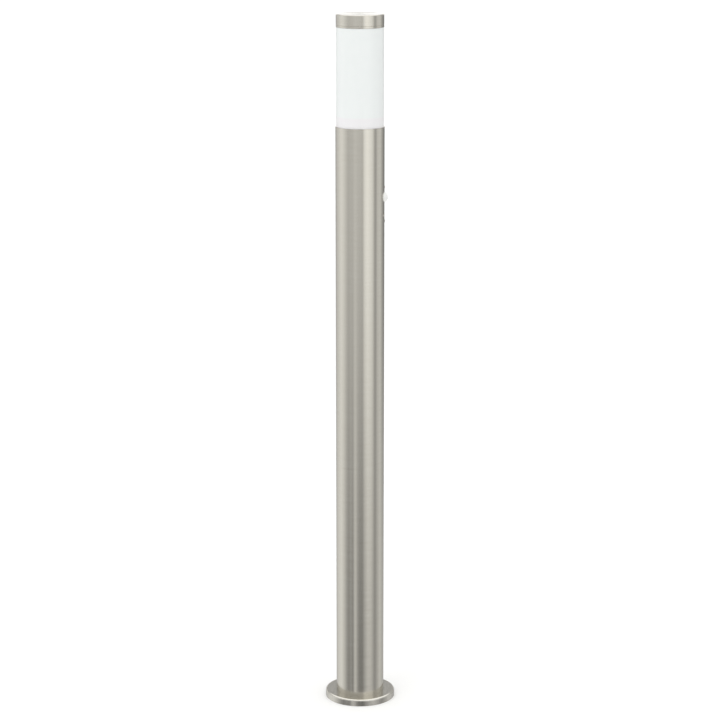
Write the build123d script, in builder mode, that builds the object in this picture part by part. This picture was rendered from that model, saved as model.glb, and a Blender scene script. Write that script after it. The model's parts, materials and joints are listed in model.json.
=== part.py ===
from build123d import *
import math
import os

# A bollard light: stainless pole, sensor, opal head with a steel cap, and a rosette at the ground.
# Millimetres. +Z is up, the origin is the middle of the foot at ground level, the sensor faces -Y.

# Driving dimensions
total_height = 1100.0
pole_radius = 38.0
pole_wall = 1.0
pole_top = 928.0
sheet = 1.0
slide_gap = 0.35
fit_gap = 0.1
hole_gap = 0.2
lug_count = 3

# Foot
flange_radius = 52.0
flange_thickness = 4.0
spigot_height = 5.0
spigot_wall = 7.0
anchor_circle_radius = 45.0
anchor_hole_radius = 3.5
anchor_count = 3
grommet_seat_radius = 8.0
grommet_lip_radius = 10.0
grommet_lip = 1.5
grommet_bore_radius = 5.0
grommet_low = 0.2
grommet_top = 6.5
grommet_flare = 0.5
cover_radius = 55.5
cover_height = 11.0
cover_edge_radius = 2.8

# Light head
cap_radius = 37.0
cap_height = 20.0
cap_edge_radius = 1.2
diffuser_wall = 2.0
diffuser_low = 914.0
insert_flange = 3.0
insert_plug = 10.0
insert_wall = 6.0
seal_section_radius = 0.85

# Carrier in the mouth of the pole
cup_radius = 30.0
cup_wall = 3.0
cup_low = 880.0
cup_floor = 4.0
cup_top = 926.0
carrier_flange_low = 904.0
carrier_flange_top = 911.0
gasket_thickness = 2.4
gasket_pole_gap = 0.4
gasket_cup_gap = 1.2
slot_low = 913.0
slot_leg_top = 920.5
slot_width = 10.5
lock_turn = 45.0
lug_low = 915.0
lug_size = (3.1, 7.0, 4.0)
lug_middle_radius = 29.95
ring_low = 914.5
ring_cup_gap = 0.7
lamp_wire_hole_radius = 2.0

# E27 lampholder and bulb
holder_radius = 20.0
holder_base = 13.0
holder_chamfer = 1.5
holder_wire_radius = 1.5
holder_wire_depth = 2.0
holder_screw_x = 12.0
holder_screw_radius = 1.5
holder_screw_grip = 8.0
holder_screw_head = (2.8, 1.8)
contact_radius = 3.5
contact_spring_radius = 9.0
contact_spring_sheet = 1.0
socket_radius = 14.3
thread_pitch = 3.62
thread_turns = 5
thread_low = 908.0
thread_crest = 13.1
thread_root = 12.1
thread_gap = 0.35
shell_wall = 0.6
shell_collar = 1.5
contact_top = 903.2
bulb_tip = 903.6
tip_height = 1.6
tip_radius = 4.5
tip_chamfer = 0.8
insulator_radii = (5.0, 11.0)
bulb_neck = 930.0
neck_step = 0.6
waist_depth = 0.8
bulb_radius = 27.5
bulb_centre = 978.5
globe_low = 964.0
globe_wall = 1.2
housing_wall = 1.4
housing_lip = 2.0
led_board_gap = 2.4
led_board_thickness = 1.6
led_circle_radius = 13.0
led_count = 9
led_size = (3.0, 3.0, 0.8)
driver_board = (18.0, 1.6)
driver_gaps = (2.0, 1.0)
driver_coil = (8.0, 6.2, 10.0)
driver_coil_place = (-2.0, 3.9, 943.0)

# Sensor: heights on the pole's front
lens_height = 818.6
lens_radius = 8.0
lens_rise = 6.0
lens_wall = 1.0
lens_seat_depth = 0.8
lens_flange_radius = 10.0
lens_flange_thickness = 1.2
hole_back = -30.0
window_radius = 2.4
window_flange_radius = 3.6
window_flange_thickness = 1.0
window_hole_radius = 2.6
screw_radius = 1.5
screw_hole_radius = 1.7
screw_head_radius = 2.8
screw_head_height = 1.0
screw_head_edge = 0.6
screw_end = -29.0
photocell_height = 802.8
adjuster_height = 791.5
adjuster_spacing = 13.0
adjuster_radius = 2.5
adjuster_hole_radius = 2.9
adjuster_front = -36.7
adjuster_neck = -34.0
adjuster_shaft_radius = 1.9
adjuster_shaft_end = -22.9
adjuster_slot = (0.8, 0.9)
potentiometer_side = 7.0
potentiometer_front = -26.0
potentiometer_bore_radius = 1.95
potentiometer_bore_end = -22.6
screw_heights = (781.3, 834.5)
case_low = 774.0
case_high = 842.0
case_half_width = 14.0
case_wall = 1.6
case_front = -33.0
case_back = -15.6
gasket_sheet = 0.5
board_front = -22.0
board_thickness = 1.6
board_edge_gaps = (0.2, 3.0)
board_pillar_spacing = (18.0, 56.0)
board_pillar_radius = 2.2
board_screw_radius = 1.2
board_screw_grip = 4.0
pillar_bore_depth = 5.0
board_screw_head = 1.5
screw_boss = (3.2, 5.0)
gasket_window_radius = 2.8
gasket_adjuster_radius = 3.1
gasket_lens_gap = 0.6
lead_entry_height = 813.5
pir_can = (4.1, 4.6)
pir_rim = (4.6, 1.2)
photocell_size = (2.4, 2.6)
relay_low = (4.0, -31.0, 798.0)
relay_size = (8.0, 9.0, 10.0)
capacitor_place = (-8.0, 803.0)
capacitor_size = (4.0, 9.0)

# Terminal block under the carrier
block_low = 846.0
block_high = 866.0
block_front = 4.0
block_back = 20.0
pole_pitch = 10.0
block_half_width = 15.0
lead_radius = 1.8
earth_lead_radius = 1.2
lamp_lead_radius = 1.4
clamp_screw_heights = (851.0, 861.0)
clamp_half_width = 3.0
clamp_depths = (9.0, 15.0)
clamp_inset = 2.5
clamp_bore_radius = 2.0
clamp_screw_radius = 1.4
clamp_screw_head_radius = 2.0
clamp_screw_depths = (6.0, 8.5, 10.0)
clamp_screw_slot = (0.6, 1.0)
block_screw_height = 856.0
block_screw_radius = 1.5
block_screw_head = (2.4, 1.6)
bracket_sheet = 1.5
bracket_shelf = (12.0, 27.0)
bracket_plate = (14.0, 844.0)
bracket_tongue = (8.0, 822.0)
bracket_screw_place = (7.0, 24.0)
bracket_screw_radius = 1.4
bracket_screw_head = (2.3, 1.8)
relief_half_width = 7.8
relief_front = 12.0
relief_heights = (825.0, 833.0)
relief_channel_radius = 3.2
relief_channel_depth = 17.0
relief_screw_x = 5.6
relief_screw_radius = 1.2
relief_screw_head = (2.0, 1.6)
earth_tab_face = 30.0
earth_tab_half_width = 5.0
earth_tab_sheet = 2.0
earth_tab_heights = (778.0, 798.0)
earth_screw_height = 788.0
earth_screw_radius = 2.0
earth_screw_head = (3.6, 2.6)
earth_screw_end = 3.5
earth_lug_radius = 4.0
earth_lug_sheet = 1.0
earth_lug_tongue = (2.0, 794.0)
earth_barrel_radius = 1.8
earth_barrel_low = 792.5

# Sizes that follow from these
cap_low = total_height - cap_height
bore_radius = pole_radius - pole_wall
diffuser_radius = bore_radius - slide_gap
diffuser_bore = diffuser_radius - diffuser_wall
lens_seat = -pole_radius + lens_seat_depth
wire_depth = (block_front + block_back) / 2
bracket_face = block_back
bracket_back = bracket_face + bracket_sheet
relief_middle = sum(relief_heights) / 2
lead_sides = (-pole_pitch, 0.0, pole_pitch)
terminals = [(x, z) for x in lead_sides for z in clamp_screw_heights]
sides = (-1, 1)
adjuster_sides = [side * adjuster_spacing / 2 for side in sides]
hole_front = -pole_radius - 1
spigot_top = flange_thickness + spigot_height
holder_low = cup_low + cup_floor
socket_floor = holder_low + holder_base
wire_pocket_top = holder_low + holder_wire_depth


def upright(radius, low, high, mode=Mode.ADD, x=0.0, y=0.0):
    """A round upright between two heights."""
    with Locations((x, y, (low + high) / 2)):
        Cylinder(radius, high - low, mode=mode)


def bar(radius, x, z, front, back, mode=Mode.ADD):
    """A round bar along Y between two depths."""
    with Locations((x, (front + back) / 2, z)):
        Cylinder(radius, abs(back - front), rotation=(90, 0, 0), mode=mode)


def block(low, high, mode=Mode.ADD):
    """A box between two opposite corners."""
    first = Vector(*low)
    last = Vector(*high)
    with Locations((first + last) / 2):
        Box(*(last - first), mode=mode)


def round_points(radius, count):
    """Evenly spaced points on a circle, the first on +Y."""
    turns = [math.radians(90 + 360 * step / count) for step in range(count)]
    return [(radius * math.cos(turn), radius * math.sin(turn)) for turn in turns]


def thread_wave(offset):
    """The side of a rounded thread, drawn as one ridge and one groove for each turn."""
    middle = (thread_crest + thread_root) / 2 + offset
    depth = (thread_crest - thread_root) / 2
    for half in range(2 * thread_turns):
        low = thread_low + half * thread_pitch / 2
        bulge = depth if half % 2 == 0 else -depth
        ThreePointArc(
            (middle, low),
            (middle + bulge, low + thread_pitch / 4),
            (middle, low + thread_pitch / 2),
        )
    return middle


def make_lead(label, points, radius):
    """A round lead along straight runs joined by the largest arcs that they allow."""
    runs = [Vector(*b) - Vector(*a) for a, b in zip(points, points[1:])]
    bends = []
    for before, after in zip(runs, runs[1:]):
        half_turn = math.radians(before.get_angle(after) / 2)
        bends.append(0.45 * min(before.length, after.length) / math.tan(half_turn))
    with BuildPart() as lead:
        with BuildLine() as route:
            FilletPolyline(*points, radius=bends)
        path = route.wire()
        with BuildSketch(Plane(origin=path @ 0, z_dir=path % 0)):
            Circle(radius)
        sweep(path=path)
    expected = math.pi * radius**2 * path.length
    print(label, "radii", [round(bend, 1) for bend in bends], "length", round(path.length, 1))
    print(label, "volume", round(lead.part.volume, 1), "of", round(expected, 1))
    return lead


thread_high = thread_low + thread_turns * thread_pitch
anchor_points = round_points(anchor_circle_radius, anchor_count)

# ---- Foot of the pole ----

with BuildPart() as base_flange:
    upright(flange_radius, 0, flange_thickness)
    upright(grommet_seat_radius, 0, flange_thickness, Mode.SUBTRACT)
    upright(grommet_lip_radius, 0, grommet_lip, Mode.SUBTRACT)
    for x, y in anchor_points:
        upright(anchor_hole_radius, 0, flange_thickness, Mode.SUBTRACT, x, y)

with BuildPart() as locating_ring:
    upright(bore_radius - fit_gap, flange_thickness, spigot_top)
    upright(bore_radius - spigot_wall, flange_thickness, spigot_top, Mode.SUBTRACT)

with BuildPart() as cable_grommet:
    upright(grommet_lip_radius - fit_gap, grommet_low, grommet_lip)
    upright(grommet_seat_radius, grommet_lip, flange_thickness)
    upright(grommet_lip_radius + grommet_flare, flange_thickness, grommet_top)
    upright(grommet_bore_radius, grommet_low, grommet_top, Mode.SUBTRACT)

with BuildPart() as pole_tube:
    upright(pole_radius, flange_thickness, pole_top)
    upright(bore_radius, flange_thickness, pole_top, Mode.SUBTRACT)
    bar(lens_radius + 2 * hole_gap, 0, lens_height, hole_front, hole_back, Mode.SUBTRACT)
    bar(window_hole_radius, 0, photocell_height, hole_front, hole_back, Mode.SUBTRACT)
    for x in adjuster_sides:
        bar(adjuster_hole_radius, x, adjuster_height, hole_front, hole_back, Mode.SUBTRACT)
    for z in screw_heights:
        bar(screw_hole_radius, 0, z, hole_front, hole_back, Mode.SUBTRACT)

# The rosette is one pressing: flat ring, rounded edge and skirt.
with BuildPart() as base_cover:
    hole_radius = pole_radius + slide_gap
    inner_edge_radius = cover_edge_radius - sheet
    with BuildSketch(Plane.XZ):
        with BuildLine():
            top = Line((hole_radius, cover_height), (cover_radius - cover_edge_radius, cover_height))
            edge = JernArc(top @ 1, (1, 0), cover_edge_radius, -90)
            Polyline(
                edge @ 1,
                (cover_radius, 0),
                (cover_radius - sheet, 0),
                (cover_radius - sheet, cover_height - cover_edge_radius),
            )
            inner_edge = JernArc(
                (cover_radius - sheet, cover_height - cover_edge_radius), (0, 1), inner_edge_radius, 90
            )
            Polyline(inner_edge @ 1, (hole_radius, cover_height - sheet), (hole_radius, cover_height))
        make_face()
    revolve(axis=Axis.Z)

# ---- Carrier, gasket and light head ----

with BuildPart() as head_carrier:
    upright(cup_radius, cup_low, cup_top)
    upright(bore_radius, carrier_flange_low, carrier_flange_top)
    upright(cup_radius - cup_wall, cup_low + cup_floor, cup_top, Mode.SUBTRACT)
    with PolarLocations(cup_radius - cup_wall / 2, lug_count, start_angle=90):
        with Locations((0, 0, (slot_low + cup_top) / 2)):
            Box(2 * cup_wall, slot_width, cup_top - slot_low, mode=Mode.SUBTRACT)
    for step in range(lug_count):
        start = math.radians(90 + 360 / lug_count * step)
        slot_plane = Plane(
            origin=(0, 0, 0),
            x_dir=(math.cos(start), math.sin(start), 0),
            z_dir=(math.sin(start), -math.cos(start), 0),
        )
        with BuildSketch(slot_plane):
            with Locations((cup_radius - cup_wall / 2, (slot_low + slot_leg_top) / 2)):
                Rectangle(2 * cup_wall, slot_leg_top - slot_low)
        revolve(axis=Axis.Z, revolution_arc=lock_turn, mode=Mode.SUBTRACT)
    for x in lead_sides[1:]:
        upright(lamp_wire_hole_radius, cup_low, holder_low, Mode.SUBTRACT, x, wire_depth)
    for side in sides:
        x, y = bracket_screw_place
        upright(holder_screw_radius + hole_gap, cup_low, holder_low, Mode.SUBTRACT, holder_screw_x * side)
        upright(bracket_screw_radius, cup_low, holder_low, Mode.SUBTRACT, x * side, y)

with BuildPart() as head_gasket:
    upright(bore_radius - gasket_pole_gap, carrier_flange_top, carrier_flange_top + gasket_thickness)
    upright(cup_radius + gasket_cup_gap, carrier_flange_top, cup_top, Mode.SUBTRACT)

with BuildPart() as diffuser:
    upright(diffuser_radius, diffuser_low, cap_low)
    upright(diffuser_bore, diffuser_low, cap_low, Mode.SUBTRACT)

with BuildPart() as diffuser_ring:
    upright(diffuser_bore, ring_low, cup_top)
    upright(cup_radius + ring_cup_gap, ring_low, cup_top, Mode.SUBTRACT)
    with PolarLocations(lug_middle_radius, lug_count, start_angle=90):
        with Locations((0, 0, lug_low + lug_size[2] / 2)):
            Box(*lug_size)

with BuildPart() as top_cap:
    upright(cap_radius, cap_low, total_height)
    fillet(top_cap.edges().group_by(Axis.Z)[-1], cap_edge_radius)
    upright(cap_radius - sheet, cap_low, total_height - sheet, Mode.SUBTRACT)

with BuildPart() as cap_insert:
    upright(cap_radius - sheet, cap_low, cap_low + insert_flange)
    upright(diffuser_bore - fit_gap, cap_low - insert_plug, cap_low)
    seal_height = cap_low - insert_plug / 2
    with BuildSketch(Plane.XZ):
        with Locations((diffuser_bore - seal_section_radius, seal_height)):
            Rectangle(2 * seal_section_radius, 2 * seal_section_radius)
    revolve(axis=Axis.Z, mode=Mode.SUBTRACT)
    upright(diffuser_bore - insert_wall, cap_low - insert_plug, cap_low, Mode.SUBTRACT)

with BuildPart() as cap_seal:
    with Locations((0, 0, seal_height)):
        Torus(diffuser_bore - seal_section_radius, seal_section_radius)

# ---- Lampholder ----

with BuildPart() as lampholder_body:
    upright(holder_radius, holder_low, pole_top)
    chamfer(lampholder_body.edges().group_by(Axis.Z)[-1], holder_chamfer)
    upright(socket_radius, socket_floor, pole_top, Mode.SUBTRACT)
    for x in lead_sides[1:]:
        upright(holder_wire_radius, holder_low, wire_pocket_top, Mode.SUBTRACT, x, wire_depth)
    for side in sides:
        x = holder_screw_x * side
        upright(holder_screw_radius, holder_low, holder_low + holder_screw_grip, Mode.SUBTRACT, x)

with BuildPart() as lampholder_sleeve:
    with BuildSketch(Plane.XZ):
        with BuildLine():
            inner = thread_wave(thread_gap)
            Polyline(
                (inner, thread_low),
                (socket_radius - fit_gap, thread_low),
                (socket_radius - fit_gap, thread_high),
                (inner, thread_high),
            )
        make_face()
    revolve(axis=Axis.Z)

with BuildPart() as lampholder_contact:
    upright(contact_radius, socket_floor, contact_top)
    upright(contact_spring_radius, socket_floor, socket_floor + contact_spring_sheet)

with BuildPart() as lampholder_screws:
    head_radius, head_height = holder_screw_head
    for side in sides:
        x = holder_screw_x * side
        upright(holder_screw_radius, cup_low, holder_low + holder_screw_grip, x=x)
        upright(head_radius, cup_low - head_height, cup_low, x=x)

# ---- Bulb ----

with BuildPart() as bulb_screw_shell:
    with BuildSketch(Plane.XZ):
        with BuildLine():
            outer = thread_wave(0)
            Polyline(
                (outer, thread_high),
                (thread_crest, thread_high + shell_collar),
                (thread_crest, bulb_neck),
                (thread_root - shell_wall, bulb_neck),
                (thread_root - shell_wall, thread_low),
                (outer, thread_low),
            )
        make_face()
    revolve(axis=Axis.Z)

with BuildPart() as bulb_insulator:
    narrow, wide = insulator_radii
    with BuildSketch(Plane.XZ):
        with BuildLine():
            Polyline(
                (0, bulb_tip + tip_height),
                (narrow, bulb_tip + tip_height),
                (wide, thread_low),
                (0, thread_low),
                close=True,
            )
        make_face()
    revolve(axis=Axis.Z)

with BuildPart() as bulb_tip_contact:
    upright(tip_radius, bulb_tip, bulb_tip + tip_height)
    chamfer(bulb_tip_contact.edges().group_by(Axis.Z)[0], tip_chamfer)

globe_rim = math.sqrt(bulb_radius**2 - (bulb_centre - globe_low) ** 2)
with BuildPart() as bulb_globe:
    with Locations((0, 0, bulb_centre)):
        Sphere(bulb_radius)
        Sphere(bulb_radius - globe_wall, mode=Mode.SUBTRACT)
    upright(bulb_radius + 1, bulb_neck, globe_low, Mode.SUBTRACT)

with BuildPart() as bulb_housing:
    with BuildSketch(Plane.XZ):
        with BuildLine():
            side_curve = ThreePointArc(
                (thread_crest + neck_step, bulb_neck),
                ((thread_crest + globe_rim) / 2 - waist_depth, (bulb_neck + globe_low) / 2),
                (globe_rim, globe_low),
            )
            Polyline(
                side_curve @ 1,
                (globe_rim - housing_lip, globe_low),
                (thread_crest - housing_wall, bulb_neck),
                side_curve @ 0,
            )
        make_face()
    revolve(axis=Axis.Z)

led_board_top = globe_low + led_board_thickness
with BuildPart() as bulb_led_board:
    upright(globe_rim - led_board_gap, globe_low, led_board_top)
    for x, y in round_points(led_circle_radius, led_count):
        with Locations((x, y, led_board_top + led_size[2] / 2)):
            Box(*led_size)

driver_low = bulb_neck + driver_gaps[0]
driver_high = globe_low - driver_gaps[1]
with BuildPart() as bulb_driver:
    with Locations((0, 0, (driver_low + driver_high) / 2)):
        Box(*driver_board, driver_high - driver_low)
    with Locations(driver_coil_place):
        Box(*driver_coil)

# ---- Sensor ----

inner_radius = bore_radius - gasket_sheet
pillar_points = [
    (x * board_pillar_spacing[0] / 2, (case_low + case_high + z * board_pillar_spacing[1]) / 2)
    for x in (-1, 1)
    for z in (-1, 1)
]
with BuildPart() as sensor_housing:
    boss_radius, boss_length = screw_boss
    block((-case_half_width, -inner_radius, case_low), (case_half_width, case_back, case_high))
    upright(inner_radius, case_low, case_high, Mode.INTERSECT)
    block(
        (-case_half_width + case_wall, case_front, case_low + case_wall),
        (case_half_width - case_wall, case_back, case_high - case_wall),
        Mode.SUBTRACT,
    )
    for x, z in pillar_points:
        bar(board_pillar_radius, x, z, case_front, board_front)
        bar(board_screw_radius, x, z, board_front - pillar_bore_depth, board_front, Mode.SUBTRACT)
    for z in screw_heights:
        bar(boss_radius, 0, z, case_front, case_front + boss_length)
        bar(screw_radius, 0, z, -inner_radius, case_front + boss_length, Mode.SUBTRACT)
    bar(lens_radius + hole_gap, 0, lens_height, -inner_radius, case_front, Mode.SUBTRACT)
    bar(window_hole_radius, 0, photocell_height, -inner_radius, case_front, Mode.SUBTRACT)
    for x in adjuster_sides:
        bar(adjuster_hole_radius, x, adjuster_height, -inner_radius, case_front, Mode.SUBTRACT)

with BuildPart() as sensor_gasket:
    block((-case_half_width, -bore_radius, case_low), (case_half_width, hole_back, case_high))
    upright(bore_radius, case_low, case_high, Mode.INTERSECT)
    upright(inner_radius, case_low, case_high, Mode.SUBTRACT)
    bar(lens_radius + gasket_lens_gap, 0, lens_height, -bore_radius, hole_back, Mode.SUBTRACT)
    bar(gasket_window_radius, 0, photocell_height, -bore_radius, hole_back, Mode.SUBTRACT)
    for x in adjuster_sides:
        bar(gasket_adjuster_radius, x, adjuster_height, -bore_radius, hole_back, Mode.SUBTRACT)
    for z in screw_heights:
        bar(screw_hole_radius, 0, z, -bore_radius, hole_back, Mode.SUBTRACT)

with BuildPart() as sensor_back_cover:
    block(
        (-case_half_width, case_back, case_low),
        (case_half_width, case_back + case_wall, case_high),
    )
    bar(
        lead_radius + hole_gap,
        pole_pitch,
        lead_entry_height,
        case_back,
        case_back + case_wall,
        Mode.SUBTRACT,
    )

with BuildPart() as sensor_screws:
    for z in screw_heights:
        bar(screw_radius, 0, z, -pole_radius, screw_end)
        bar(screw_head_radius, 0, z, -pole_radius - screw_head_height, -pole_radius)
    fillet(sensor_screws.edges().group_by(Axis.Y)[0], screw_head_edge)

# The lens is a hollow dome on a short neck, with a flange behind the case's front.
dome_radius = (lens_radius**2 + lens_rise**2) / (2 * lens_rise)
dome_centre = lens_seat - lens_rise + dome_radius
dome_half_turn = math.asin(lens_radius / dome_radius) / 2
with BuildPart() as sensor_lens:
    with BuildSketch(Plane.XY.offset(lens_height)):
        with BuildLine():
            inside_rim = lens_radius - lens_wall
            inside_radius = dome_radius - lens_wall
            inside_seat = dome_centre - math.sqrt(inside_radius**2 - inside_rim**2)
            ThreePointArc(
                (lens_radius, lens_seat),
                (
                    dome_radius * math.sin(dome_half_turn),
                    dome_centre - dome_radius * math.cos(dome_half_turn),
                ),
                (0, dome_centre - dome_radius),
            )
            Line((0, dome_centre - dome_radius), (0, dome_centre - inside_radius))
            ThreePointArc(
                (0, dome_centre - inside_radius),
                (
                    inside_radius * math.sin(dome_half_turn),
                    dome_centre - inside_radius * math.cos(dome_half_turn),
                ),
                (inside_rim, inside_seat),
            )
            Polyline(
                (inside_rim, inside_seat),
                (inside_rim, case_front + lens_flange_thickness),
                (lens_flange_radius, case_front + lens_flange_thickness),
                (lens_flange_radius, case_front),
                (lens_radius, case_front),
                (lens_radius, lens_seat),
            )
        make_face()
    revolve(axis=Axis((0, 0, lens_height), (0, 1, 0)))

with BuildPart() as photocell_window:
    bar(window_radius, 0, photocell_height, -pole_radius + fit_gap, case_front)
    bar(window_flange_radius, 0, photocell_height, case_front, case_front + window_flange_thickness)

board_back = board_front + board_thickness
with BuildPart() as circuit_board:
    side_gap, end_gap = board_edge_gaps
    board_half_width = case_half_width - case_wall - side_gap
    block(
        (-board_half_width, board_front, case_low + end_gap),
        (board_half_width, board_back, case_high - end_gap),
    )
    for x, z in pillar_points:
        bar(board_screw_radius + fit_gap, x, z, board_front, board_back, Mode.SUBTRACT)

with BuildPart() as board_screws:
    for x, z in pillar_points:
        bar(board_screw_radius, x, z, board_front - board_screw_grip, board_back)
        bar(board_pillar_radius, x, z, board_back, board_back + board_screw_head)

with BuildPart() as pir_element:
    for radius, height in (pir_can, pir_rim):
        bar(radius, 0, lens_height, board_front - height, board_front)

with BuildPart() as photocell:
    radius, height = photocell_size
    bar(radius, 0, photocell_height, board_front - height, board_front)

with BuildPart() as relay:
    block(relay_low, Vector(*relay_low) + Vector(*relay_size))

with BuildPart() as capacitor:
    x, z = capacitor_place
    radius, height = capacitor_size
    bar(radius, x, z, board_front - height, board_front)


def make_potentiometer(x):
    """A small square control with a round shaft bore."""
    half = potentiometer_side / 2
    with BuildPart() as potentiometer:
        block(
            (x - half, potentiometer_front, adjuster_height - half),
            (x + half, board_front, adjuster_height + half),
        )
        bar(
            potentiometer_bore_radius,
            x,
            adjuster_height,
            potentiometer_front,
            potentiometer_bore_end,
            Mode.SUBTRACT,
        )
    return potentiometer


def make_adjuster(x):
    """A slotted knob on a shaft, just below the pole's surface."""
    slot_width, slot_depth = adjuster_slot
    reach = adjuster_radius + fit_gap
    with BuildPart() as adjuster:
        bar(adjuster_shaft_radius, x, adjuster_height, adjuster_neck, adjuster_shaft_end)
        bar(adjuster_radius, x, adjuster_height, adjuster_front, adjuster_neck)
        block(
            (x - reach, adjuster_front, adjuster_height - slot_width / 2),
            (x + reach, adjuster_front + slot_depth, adjuster_height + slot_width / 2),
            Mode.SUBTRACT,
        )
    return adjuster


time_potentiometer, lux_potentiometer = [make_potentiometer(x) for x in adjuster_sides]
time_adjuster, lux_adjuster = [make_adjuster(x) for x in adjuster_sides]

# ---- Terminal block, bracket and leads ----

with BuildPart() as terminal_bracket:
    plate_half_width, plate_low = bracket_plate
    tongue_half_width, tongue_low = bracket_tongue
    shelf_half_width, shelf_back = bracket_shelf
    block((-plate_half_width, bracket_face, plate_low), (plate_half_width, bracket_back, cup_low))
    block((-tongue_half_width, bracket_face, tongue_low), (tongue_half_width, bracket_back, plate_low))
    block(
        (-shelf_half_width, bracket_face, cup_low - bracket_sheet),
        (shelf_half_width, shelf_back, cup_low),
    )
    for side in sides:
        x, y = bracket_screw_place
        upright(
            bracket_screw_radius + fit_gap,
            cup_low - bracket_sheet,
            cup_low,
            Mode.SUBTRACT,
            x * side,
            y,
        )
        x = pole_pitch / 2 * side
        bar(block_screw_radius, x, block_screw_height, bracket_face, bracket_back, Mode.SUBTRACT)
        x = relief_screw_x * side
        bar(relief_screw_radius, x, relief_middle, bracket_face, bracket_back, Mode.SUBTRACT)

with BuildPart() as bracket_screws:
    head_radius, head_height = bracket_screw_head
    shelf_low = cup_low - bracket_sheet
    for side in sides:
        x, y = bracket_screw_place
        upright(bracket_screw_radius, shelf_low, holder_low, x=x * side, y=y)
        upright(head_radius, shelf_low - head_height, shelf_low, x=x * side, y=y)

clamp_front, clamp_back = clamp_depths
clamp_boxes = [
    (
        (x - clamp_half_width, clamp_front, block_low + clamp_inset),
        (x + clamp_half_width, clamp_back, block_high - clamp_inset),
    )
    for x in lead_sides
]
with BuildPart() as terminal_block:
    block((-block_half_width, block_front, block_low), (block_half_width, block_back, block_high))
    for low, high in clamp_boxes:
        block(low, high, Mode.SUBTRACT)
    for x in lead_sides:
        upright(clamp_bore_radius + fit_gap, block_low, block_high, Mode.SUBTRACT, x, wire_depth)
    for x, z in terminals:
        bar(clamp_screw_head_radius + hole_gap, x, z, block_front, clamp_front, Mode.SUBTRACT)
    for side in sides:
        x = pole_pitch / 2 * side
        bar(
            block_screw_radius + fit_gap,
            x,
            block_screw_height,
            block_front,
            block_back,
            Mode.SUBTRACT,
        )

with BuildPart() as terminal_clamps:
    for low, high in clamp_boxes:
        block(low, high)
    for x in lead_sides:
        upright(clamp_bore_radius, block_low, block_high, Mode.SUBTRACT, x, wire_depth)
    for x, z in terminals:
        bar(clamp_screw_radius + fit_gap / 2, x, z, clamp_front, wire_depth - 1, Mode.SUBTRACT)

with BuildPart() as terminal_screws:
    head_front, head_back, screw_tip = clamp_screw_depths
    slot_width, slot_depth = clamp_screw_slot
    for x, z in terminals:
        bar(clamp_screw_radius, x, z, head_back, screw_tip)
        bar(clamp_screw_head_radius, x, z, head_front, head_back)
        block(
            (x - clamp_screw_head_radius, head_front, z - slot_width / 2),
            (x + clamp_screw_head_radius, head_front + slot_depth, z + slot_width / 2),
            Mode.SUBTRACT,
        )

with BuildPart() as block_screws:
    head_radius, head_height = block_screw_head
    for side in sides:
        x = pole_pitch / 2 * side
        bar(block_screw_radius, x, block_screw_height, block_front, bracket_back)
        bar(head_radius, x, block_screw_height, block_front - head_height, block_front)

relief_low, relief_high = relief_heights
with BuildPart() as strain_relief:
    block(
        (-relief_half_width, relief_front, relief_low),
        (relief_half_width, bracket_face, relief_high),
    )
    upright(relief_channel_radius, relief_low, relief_high, Mode.SUBTRACT, 0, relief_channel_depth)
    block(
        (-relief_channel_radius, relief_channel_depth, relief_low),
        (relief_channel_radius, bracket_face, relief_high),
        Mode.SUBTRACT,
    )
    for side in sides:
        x = relief_screw_x * side
        bar(relief_screw_radius + fit_gap, x, relief_middle, relief_front, bracket_face, Mode.SUBTRACT)

with BuildPart() as strain_relief_screws:
    head_radius, head_height = relief_screw_head
    for side in sides:
        x = relief_screw_x * side
        bar(relief_screw_radius, x, relief_middle, relief_front, bracket_back)
        bar(head_radius, x, relief_middle, relief_front - head_height, relief_front)

earth_x = -pole_pitch
earth_hole_radius = earth_screw_radius + fit_gap / 2
lug_front = earth_tab_face - earth_lug_sheet
barrel_depth = earth_tab_face - earth_barrel_radius
tab_low, tab_high = earth_tab_heights
with BuildPart() as earth_tab:
    left = earth_x - earth_tab_half_width
    right = earth_x + earth_tab_half_width
    foot_top = tab_low + earth_tab_sheet
    tab_back = earth_tab_face + earth_tab_sheet
    block((left, earth_tab_face, tab_low), (right, bore_radius, foot_top))
    block((left, earth_tab_face, foot_top), (right, tab_back, tab_high))
    upright(bore_radius, tab_low, tab_high, Mode.INTERSECT)
    bar(earth_hole_radius, earth_x, earth_screw_height, earth_tab_face, tab_back, Mode.SUBTRACT)

with BuildPart() as earth_lug:
    tongue_half_width, tongue_top = earth_lug_tongue
    bar(earth_lug_radius, earth_x, earth_screw_height, lug_front, earth_tab_face)
    block(
        (earth_x - tongue_half_width, lug_front, earth_screw_height),
        (earth_x + tongue_half_width, earth_tab_face, tongue_top),
    )
    upright(earth_barrel_radius, earth_barrel_low, tab_high, x=earth_x, y=barrel_depth)
    bar(earth_hole_radius, earth_x, earth_screw_height, lug_front, earth_tab_face, Mode.SUBTRACT)

with BuildPart() as earth_screw:
    head_radius, head_height = earth_screw_head
    bar(earth_screw_radius, earth_x, earth_screw_height, lug_front, earth_tab_face + earth_screw_end)
    bar(head_radius, earth_x, earth_screw_height, lug_front - head_height, lug_front)

sensor_lead = make_lead(
    "sensor_lead",
    [
        (pole_pitch, wire_depth, 849),
        (pole_pitch, wire_depth, 836),
        (pole_pitch, 4.5, 822),
        (pole_pitch, -8.0, lead_entry_height),
        (pole_pitch, board_back, lead_entry_height),
    ],
    lead_radius,
)
earth_lead = make_lead(
    "earth_lead",
    [
        (earth_x, wire_depth, 849),
        (earth_x, wire_depth, 833),
        (earth_x, barrel_depth, 814),
        (earth_x, barrel_depth, tab_high),
    ],
    earth_lead_radius,
)
lamp_lead_low = block_high - 4
with BuildPart() as lamp_leads:
    for x in lead_sides[1:]:
        upright(lamp_lead_radius, lamp_lead_low, wire_pocket_top, x=x, y=wire_depth)

# ---- Write each piece ----

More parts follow.
